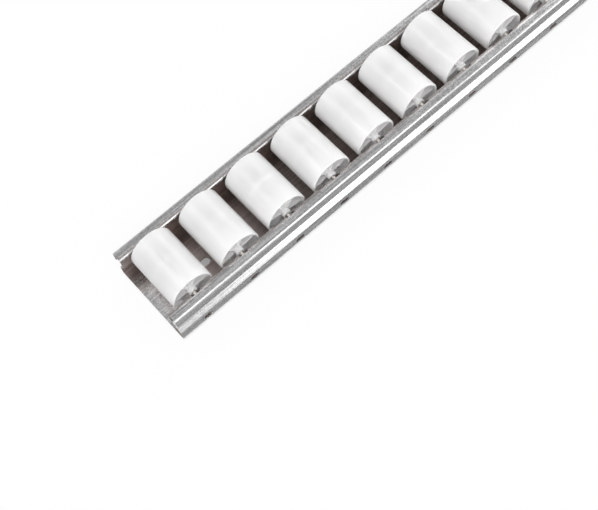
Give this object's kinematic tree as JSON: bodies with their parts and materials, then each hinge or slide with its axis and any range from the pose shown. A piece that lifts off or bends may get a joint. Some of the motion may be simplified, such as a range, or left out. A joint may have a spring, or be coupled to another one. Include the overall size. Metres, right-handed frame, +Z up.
{
  "type": "flow rack roller track",
  "caption": "Straight gravity roller track: a roll-formed galvanised channel with hooked edges carries full-width white plastic rollers on steel axles.",
  "frame": {"origin": "middle of the rail's underside, halfway along and across it", "axes": "+X along the track, +Y across it along the axles, +Z up out of the open side towards the goods"},
  "size_m": [0.506, 0.0834, 0.0527],
  "materials": {
    "galvanised_sheet": "spangled zinc",
    "axle_steel": "bright drawn",
    "white_plastic": "satin"
  },
  "bodies": {
    "track": {"rail": "galvanised_sheet", "axle_01": "axle_steel", "axle_02": "axle_steel", "axle_03": "axle_steel", "axle_04": "axle_steel", "axle_05": "axle_steel", "axle_06": "axle_steel", "axle_07": "axle_steel", "axle_08": "axle_steel", "axle_09": "axle_steel", "axle_10": "axle_steel"},
    "roller_01": {"roller_01": "white_plastic"},
    "roller_02": {"roller_02": "white_plastic"},
    "roller_03": {"roller_03": "white_plastic"},
    "roller_04": {"roller_04": "white_plastic"},
    "roller_05": {"roller_05": "white_plastic"},
    "roller_06": {"roller_06": "white_plastic"},
    "roller_07": {"roller_07": "white_plastic"},
    "roller_08": {"roller_08": "white_plastic"},
    "roller_09": {"roller_09": "white_plastic"},
    "roller_10": {"roller_10": "white_plastic"}
  },
  "joints": [
    {"name": "roller_01_spin", "type": "hinge", "parent": "track", "child": "roller_01", "pos_m": [-0.225, 0, 0.0327], "axis": [0, 1, 0], "continuous": true},
    {"name": "roller_02_spin", "type": "hinge", "parent": "track", "child": "roller_02", "pos_m": [-0.175, 0, 0.0327], "axis": [0, 1, 0], "continuous": true},
    {"name": "roller_03_spin", "type": "hinge", "parent": "track", "child": "roller_03", "pos_m": [-0.125, 0, 0.0327], "axis": [0, 1, 0], "continuous": true},
    {"name": "roller_04_spin", "type": "hinge", "parent": "track", "child": "roller_04", "pos_m": [-0.075, 0, 0.0327], "axis": [0, 1, 0], "continuous": true},
    {"name": "roller_05_spin", "type": "hinge", "parent": "track", "child": "roller_05", "pos_m": [-0.025, 0, 0.0327], "axis": [0, 1, 0], "continuous": true},
    {"name": "roller_06_spin", "type": "hinge", "parent": "track", "child": "roller_06", "pos_m": [0.025, 0, 0.0327], "axis": [0, 1, 0], "continuous": true},
    {"name": "roller_07_spin", "type": "hinge", "parent": "track", "child": "roller_07", "pos_m": [0.075, 0, 0.0327], "axis": [0, 1, 0], "continuous": true},
    {"name": "roller_08_spin", "type": "hinge", "parent": "track", "child": "roller_08", "pos_m": [0.125, 0, 0.0327], "axis": [0, 1, 0], "continuous": true},
    {"name": "roller_09_spin", "type": "hinge", "parent": "track", "child": "roller_09", "pos_m": [0.175, 0, 0.0327], "axis": [0, 1, 0], "continuous": true},
    {"name": "roller_10_spin", "type": "hinge", "parent": "track", "child": "roller_10", "pos_m": [0.225, 0, 0.0327], "axis": [0, 1, 0], "continuous": true}
  ]
}
